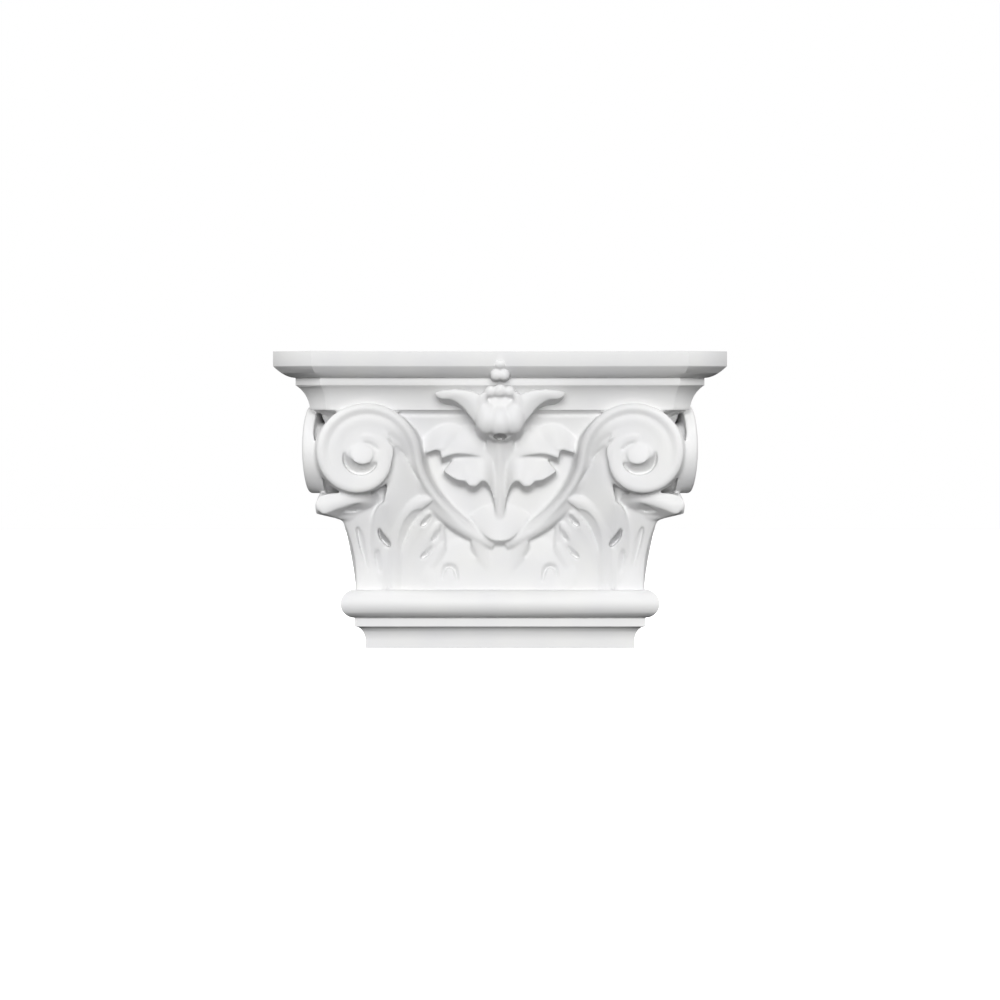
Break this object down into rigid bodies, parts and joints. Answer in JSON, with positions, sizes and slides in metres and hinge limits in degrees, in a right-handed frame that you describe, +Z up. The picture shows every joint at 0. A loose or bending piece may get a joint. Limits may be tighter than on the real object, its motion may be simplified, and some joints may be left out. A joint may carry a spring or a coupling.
{
  "type": "corinthian pilaster capital",
  "caption": "Moulded white corinthian capital for a square pilaster: hollow-sided abacus, corner volutes, central flower, acanthus leaves and a square moulded neck, with a flat back for a wall.",
  "frame": {"origin": "middle of the flat underside, which stands on the shaft", "axes": "+Z up, +X to the right across the front, the front faces -Y and the flat back faces +Y"},
  "size_m": [0.336, 0.128, 0.22],
  "materials": {
    "primed_moulding": "white primer on moulded rigid foam, matt, ready to paint"
  },
  "bodies": {
    "root": {"capital": "primed_moulding"}
  },
  "joints": []
}
